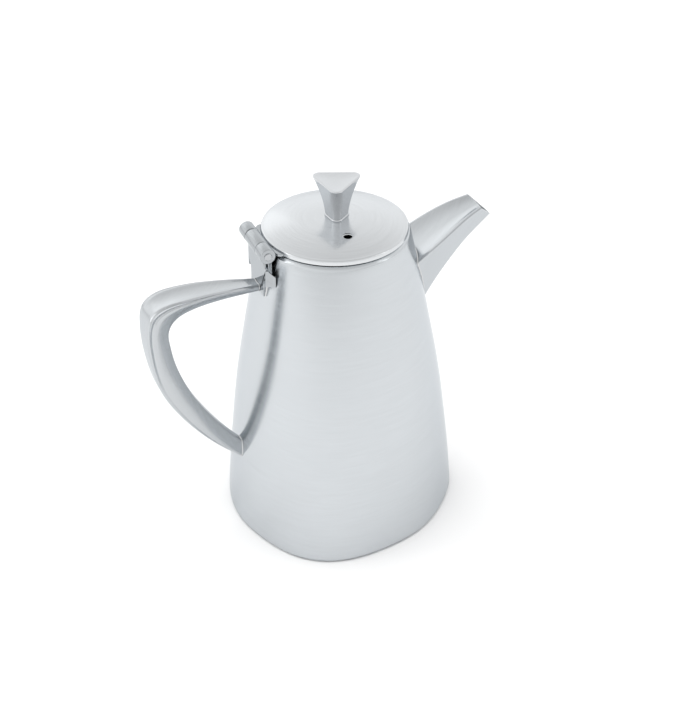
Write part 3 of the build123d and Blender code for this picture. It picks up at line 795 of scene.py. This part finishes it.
WEB_X = HINGE_X - BRACKET_SHEET / 2
web = [(BRACKET_HALF_WIDTH, HINGE_Z), (BRACKET_HALF_WIDTH, BRACKET_TAPER[0]),
       (BRACKET_FOOT_HALF_WIDTH, BRACKET_TAPER[1]), (BRACKET_FOOT_HALF_WIDTH, BRACKET_BOTTOM)]
web += [(-y, z) for y, z in reversed(web)]
web = rounded(web, [0, 5, 5, 0, 0, 5, 5, 0], 8)[::-1]
bracket = extruded("bracket", web, WEB_X, WEB_X + BRACKET_SHEET, "pot", HINGE_STEEL, axis="X",
                   stands_for=["hinge_bracket"])
for side in (-1, 1):
    foot = [(WEB_X + 0.05, BRACKET_TAPER[0]), (WEB_X + 0.05, BRACKET_BOTTOM + 0.01),
            (FOOT_REACH_X, BRACKET_BOTTOM + 0.01), (FOOT_REACH_X, BRACKET_TAPER[0])][::-1]
    outer, inner = side * (BRACKET_FOOT_HALF_WIDTH - 0.02), side * (BRACKET_FOOT_HALF_WIDTH - BRACKET_SHEET)
    cut(bracket, bracket_part(foot, min(outer, inner), max(outer, inner), "Y"), "UNION")
    cut(bracket, wing(side), "UNION")
    flange = [(WEB_X + 0.05, HINGE_Z - 0.02), (WEB_X + 0.05, WING_STEP[0]), (FLANGE_X, WING_STEP[0]),
              (FLANGE_X, HINGE_Z - 0.02)][::-1]
    outer, inner = side * (BRACKET_HALF_WIDTH - 0.02), side * (BRACKET_HALF_WIDTH - BRACKET_SHEET)
    cut(bracket, bracket_part(flange, min(outer, inner), max(outer, inner), "Y"), "UNION")


def drill(name, radius, near, far, x, z):
    """Cuts a round room along Y out of the bracket."""
    profile = [(0.05, near), (radius, near), (radius, far), (0.05, far)]
    cut(bracket, revolved(name, profile, None, HINGE_STEEL, 64, axis="Y", centre=(x, 0, z), flip=True))


cut(bracket, skin("clear_of_body", [body_ring(z, -WING_GAP) for z in np.linspace(140, 168, 12)],
                  None, HINGE_STEEL))
drill("lid_knuckle_room", KNUCKLE_RADIUS + KNUCKLE_GAP, LID_KNUCKLE_NEAR - KNUCKLE_GAP,
      FAR_KNUCKLE_START, HINGE_X, HINGE_Z)
drill("pin_room", PIN_RADIUS, 2 - KNUCKLE_END, KNUCKLE_END - 2, HINGE_X, HINGE_Z)
drill("spot_mark", SPOT_MARK_RADIUS, SPOT_MARK_NEAR, SPOT_MARK_FAR, *SPOT_MARK)
soften(bracket, 0.2, 2)


def leaf_outline():
    """The crescent plate on the lid's edge with its tab to the knuckle."""
    rim = LID_RADIUS + SEAM
    reach = atan2(LEAF_HALF_WIDTH, sqrt(rim ** 2 - LEAF_HALF_WIDTH ** 2))
    rim_side = [(-rim * cos(t), -rim * sin(t)) for t in np.linspace(-reach, reach, 41)]
    corners = [(LEAF_OUTER_X, -LEAF_HALF_WIDTH), (LEAF_OUTER_X, LID_KNUCKLE_NEAR),
               (HINGE_X, LID_KNUCKLE_NEAR), (HINGE_X, LID_KNUCKLE_FAR), (LEAF_OUTER_X, LID_KNUCKLE_FAR),
               (LEAF_OUTER_X, LEAF_HALF_WIDTH)]
    return rounded(rim_side + corners, [0] * len(rim_side) + [LEAF_CORNER, 0.4, 0, 0, 0.4, LEAF_CORNER], 6)


extruded("leaf", leaf_outline(), LEAF_BOTTOM, LEAF_BOTTOM + LEAF_SHEET, "lid", HINGE_STEEL,
         axis="Z", bevel=0.3, stands_for=["lid_leaf"], grain="ring")

# ---------------------------------------------------------------- hidden and inner pieces

SKIRT_RADIUS = cad("lid_skirt", 1, X)
SKIRT_BOTTOM = cad("lid_skirt", 0, Z)
SKIRT_TOP = cad("lid_skirt", 1, Z)
SKIRT_CHAMFER = SHEET / 3
skirt = [(SKIRT_RADIUS - SHEET, SKIRT_TOP), (SKIRT_RADIUS, SKIRT_TOP),
         (SKIRT_RADIUS, SKIRT_BOTTOM + SKIRT_CHAMFER), (SKIRT_RADIUS - SKIRT_CHAMFER, SKIRT_BOTTOM),
         (SKIRT_RADIUS - SHEET, SKIRT_BOTTOM)]
revolved("lid_collar", skirt, "lid", INSIDE_STEEL, LID_COLUMNS, looped=True, flip=True,
         stands_for=["lid_skirt"])

base = [body_ring(z, BOTTOM_INSET + SEAM + inset) for z, inset in ((0.12, 0.0), (LIP, 0.0))]
base.insert(0, body_ring(0, BOTTOM_INSET + SEAM + 0.12))
skin("base", base, "pot", BODY_STEEL, stands_for=["base_plate"], grain="ring")


def washer():
    outer = cad("knob_washer", 1, Y)
    low, high = cad("knob_washer", 0, Z), cad("knob_washer", 1, Z)
    stem, edge = 2.55, 0.15
    profile = [(stem, low), (outer - edge, low), (outer, low + edge), (outer, high - edge),
               (outer - edge, high), (stem, high)]
    revolved("washer", profile, "lid", PIN_STEEL, 64, looped=True, slot="bright_steel",
             centre=(KNOB_X, 0, 0), stands_for=["knob_washer"])


def screw():
    low, head = cad("knob_screw", 0, Z), cad("knob_screw", 1, Y)
    under_head, top = cad("knob_washer", 0, Z), cad("knob_screw", 1, Z)
    stem, edge, slot_half = 2.5, 0.6, 0.5
    profile = [(0.3, low)] + arc((head - edge, low + edge), edge, -90, 0, 5)
    profile += [(head, under_head), (stem, under_head), (stem, top - 0.4), (stem - 0.4, top), (0.3, top)]
    piece = revolved("screw", profile, "lid", PIN_STEEL, 64, slot="bright_steel",
                     centre=(KNOB_X, 0, 0), stands_for=["knob_screw"])
    slot_outline = [(-2 * head, -slot_half), (2 * head, -slot_half), (2 * head, slot_half),
                    (-2 * head, slot_half)]
    cut(piece, extruded("slot_tool", slot_outline, low - 1, low + 1.2, None, PIN_STEEL, axis="Z"))


washer()
screw()

# ---------------------------------------------------------------- welds


def spout_outer(half, depth):
    return rounded([(half, 0), (0, -depth), (-half, 0)],
                   [SPOUT_RIDGE_ROUND, SPOUT_KEEL_ROUND, SPOUT_RIDGE_ROUND])


root_section = evenly(spout_outer, TYPICAL_RIB, 1.2)
root_line = [spout_point(root_of(root_section, column) + 0.1, root_section, column)
             for column in range(len(root_section(*TYPICAL_RIB)))]
tube("spout_weld", root_line, 0.5, "pot", WELD_STEEL)


def handle_outer(outer, inner, depth):
    corners = [(outer, 0), (inner, -depth), (-inner, -depth), (-outer, 0)]
    round_off = HANDLE_OUTER_ROUND * depth
    return rounded(corners, [round_off, HANDLE_INNER_ROUND, HANDLE_INNER_ROUND, round_off])


handle_weld_section = dished_handle(evenly(handle_outer, TYPICAL_STATION, 0.8))
weld_line = [handle_point(handle_end(handle_weld_section, column) - 0.05, handle_weld_section, column)
             for column in range(len(handle_weld_section(*TYPICAL_STATION)))]
tube("handle_weld", weld_line, 0.4, "pot", WELD_STEEL)
bracket_weld_line = [handle_point(0.15, handle_weld_section, column)
                     for column in range(len(handle_weld_section(*TYPICAL_STATION)))]
tube("bracket_weld", bracket_weld_line, 0.25, "pot", WELD_STEEL)
FOOT_WELD_X = -43.0
FOOT_WELD_STANDS_OUT = 0.2
for name, side in (("foot_weld_near", -1), ("foot_weld_far", 1)):
    line = []
    for z in np.linspace(BRACKET_BOTTOM, WING_BOTTOM + 0.5, 12):
        y = side * BRACKET_FOOT_HALF_WIDTH
        radius = body_radius(atan2(y, FOOT_WELD_X), z) + FOOT_WELD_STANDS_OUT
        line.append((-sqrt(radius ** 2 - y ** 2), y, z))
    tube(name, line, 0.55, "pot", WELD_STEEL, closed=False)
tube("knob_foot", [(x, y, KNOB_FOOT + 0.4) for x, y, z in knob_ring(KNOB_FOOT)], 0.6, "lid",
     KNOB_STEEL, slot="polished_steel")

# ---------------------------------------------------------------- stage

CAMERA_AZIMUTH = -22.0
CAMERA_ELEVATION = 33.2161
CAMERA_DISTANCE = 1170.0
LENS = 106.7
AIM_HEIGHT = 87.75
AIM_SIDEWAYS = 4.256
AIM_UPWARDS = 0.497
CAMERA_ROLL = -0.306


def camera():
    azimuth, elevation = radians(CAMERA_AZIMUTH), radians(CAMERA_ELEVATION)
    back = Vector((sin(azimuth) * cos(elevation), -cos(azimuth) * cos(elevation), sin(elevation)))
    right = Vector((cos(azimuth), sin(azimuth), 0))
    up = back.cross(right)
    aim = Vector((0, 0, AIM_HEIGHT)) + AIM_SIDEWAYS * right + AIM_UPWARDS * up
    data = bpy.data.cameras.new("camera")
    data.lens = LENS
    data.sensor_width = 36
    data.clip_start, data.clip_end = 0.05, 50
    view = bpy.data.objects.new("camera", data)
    view.location = (aim + back * CAMERA_DISTANCE) * MM
    view.rotation_mode = "QUATERNION"
    upright = (-back).to_track_quat("-Z", "Y")
    view.rotation_quaternion = upright @ Quaternion((0, 0, 1), radians(CAMERA_ROLL))
    bpy.context.scene.collection.objects.link(view)
    bpy.context.scene.camera = view
    return right, back


RIGHT, BACK = camera()


def floor():
    material = bpy.data.materials.new("floor_paper")
    material.use_nodes = True
    nodes, links = material.node_tree.nodes, material.node_tree.links
    principled = nodes["Principled BSDF"]
    principled.inputs["Base Color"].default_value = (0.93, 0.93, 0.93, 1)
    principled.inputs["Roughness"].default_value = 0.9
    half = 8.0
    mesh = bpy.data.meshes.new("floor")
    mesh.from_pydata([(-half, -half, 0), (half, -half, 0), (half, half, 0), (-half, half, 0)],
                     [], [(0, 1, 2, 3)])
    mesh.materials.append(material)
    paper = bpy.data.objects.new("floor", mesh)
    paper.location.z = -0.00015
    bpy.context.scene.collection.objects.link(paper)


def softbox(name, azimuth, elevation, distance, width, height, power, glossy=True):
    """An area light facing the pot; azimuth as for the camera."""
    azimuth, elevation = radians(azimuth), radians(elevation)
    out = Vector((sin(azimuth) * cos(elevation), -cos(azimuth) * cos(elevation), sin(elevation)))
    data = bpy.data.lights.new(name, "AREA")
    data.shape, data.size, data.size_y, data.energy = "RECTANGLE", width, height, power
    light = bpy.data.objects.new(name, data)
    light.location = Vector((0, 0, 0.09)) + out * distance
    light.rotation_mode = "QUATERNION"
    light.rotation_quaternion = out.to_track_quat("Z", "Y")
    light.visible_glossy = glossy
    light.visible_camera = False
    bpy.context.scene.collection.objects.link(light)
    return light


def sky():
    """Bright near the horizon, darker overhead, and a little brighter behind the pot and at its left."""
    world = bpy.data.worlds.new("studio")
    bpy.context.scene.world = world
    world.use_nodes = True
    nodes, links = world.node_tree.nodes, world.node_tree.links
    place = nodes.new("ShaderNodeTexCoord")
    split = nodes.new("ShaderNodeSeparateXYZ")
    ramp = nodes.new("ShaderNodeValToRGB")
    links.new(place.outputs["Generated"], split.inputs["Vector"])
    links.new(split.outputs["Z"], ramp.inputs["Fac"])
    links.new(ramp.outputs["Color"], nodes["Background"].inputs["Color"])
    stops = ((0.0, 1.12), (0.3, 1.15), (0.55, 1.02), (0.78, 0.87), (1.0, 0.75))
    elements = ramp.color_ramp.elements
    while len(elements) < len(stops):
        elements.new(0.5)
    for element, (height, value) in zip(elements, stops):
        element.position, element.color = height, (value, value, value, 1)
    lean = nodes.new("ShaderNodeVectorMath")
    lean.operation = "DOT_PRODUCT"
    lean.inputs[1].default_value = -0.1 * Vector((BACK.x, BACK.y, 0)).normalized() - 0.1 * RIGHT
    links.new(place.outputs["Generated"], lean.inputs[0])
    strength = nodes.new("ShaderNodeMath")
    strength.operation = "ADD"
    strength.inputs[1].default_value = 1.0
    links.new(lean.outputs["Value"], strength.inputs[0])
    links.new(strength.outputs["Value"], nodes["Background"].inputs["Strength"])


floor()
sky()
softbox("left_box", CAMERA_AZIMUTH - 78, 22, 1.1, 0.18, 0.9, 0.6)
softbox("right_box", CAMERA_AZIMUTH + 78, 24, 1.2, 0.12, 0.9, 0.4)
softbox("back_box", CAMERA_AZIMUTH - 148, 25, 1.3, 0.8, 0.5, 0.3)
softbox("fill_box", CAMERA_AZIMUTH - 80, 80, 1.5, 1.5, 1.5, 12.5, glossy=False)
bpy.context.scene.view_settings.view_transform = "Standard"
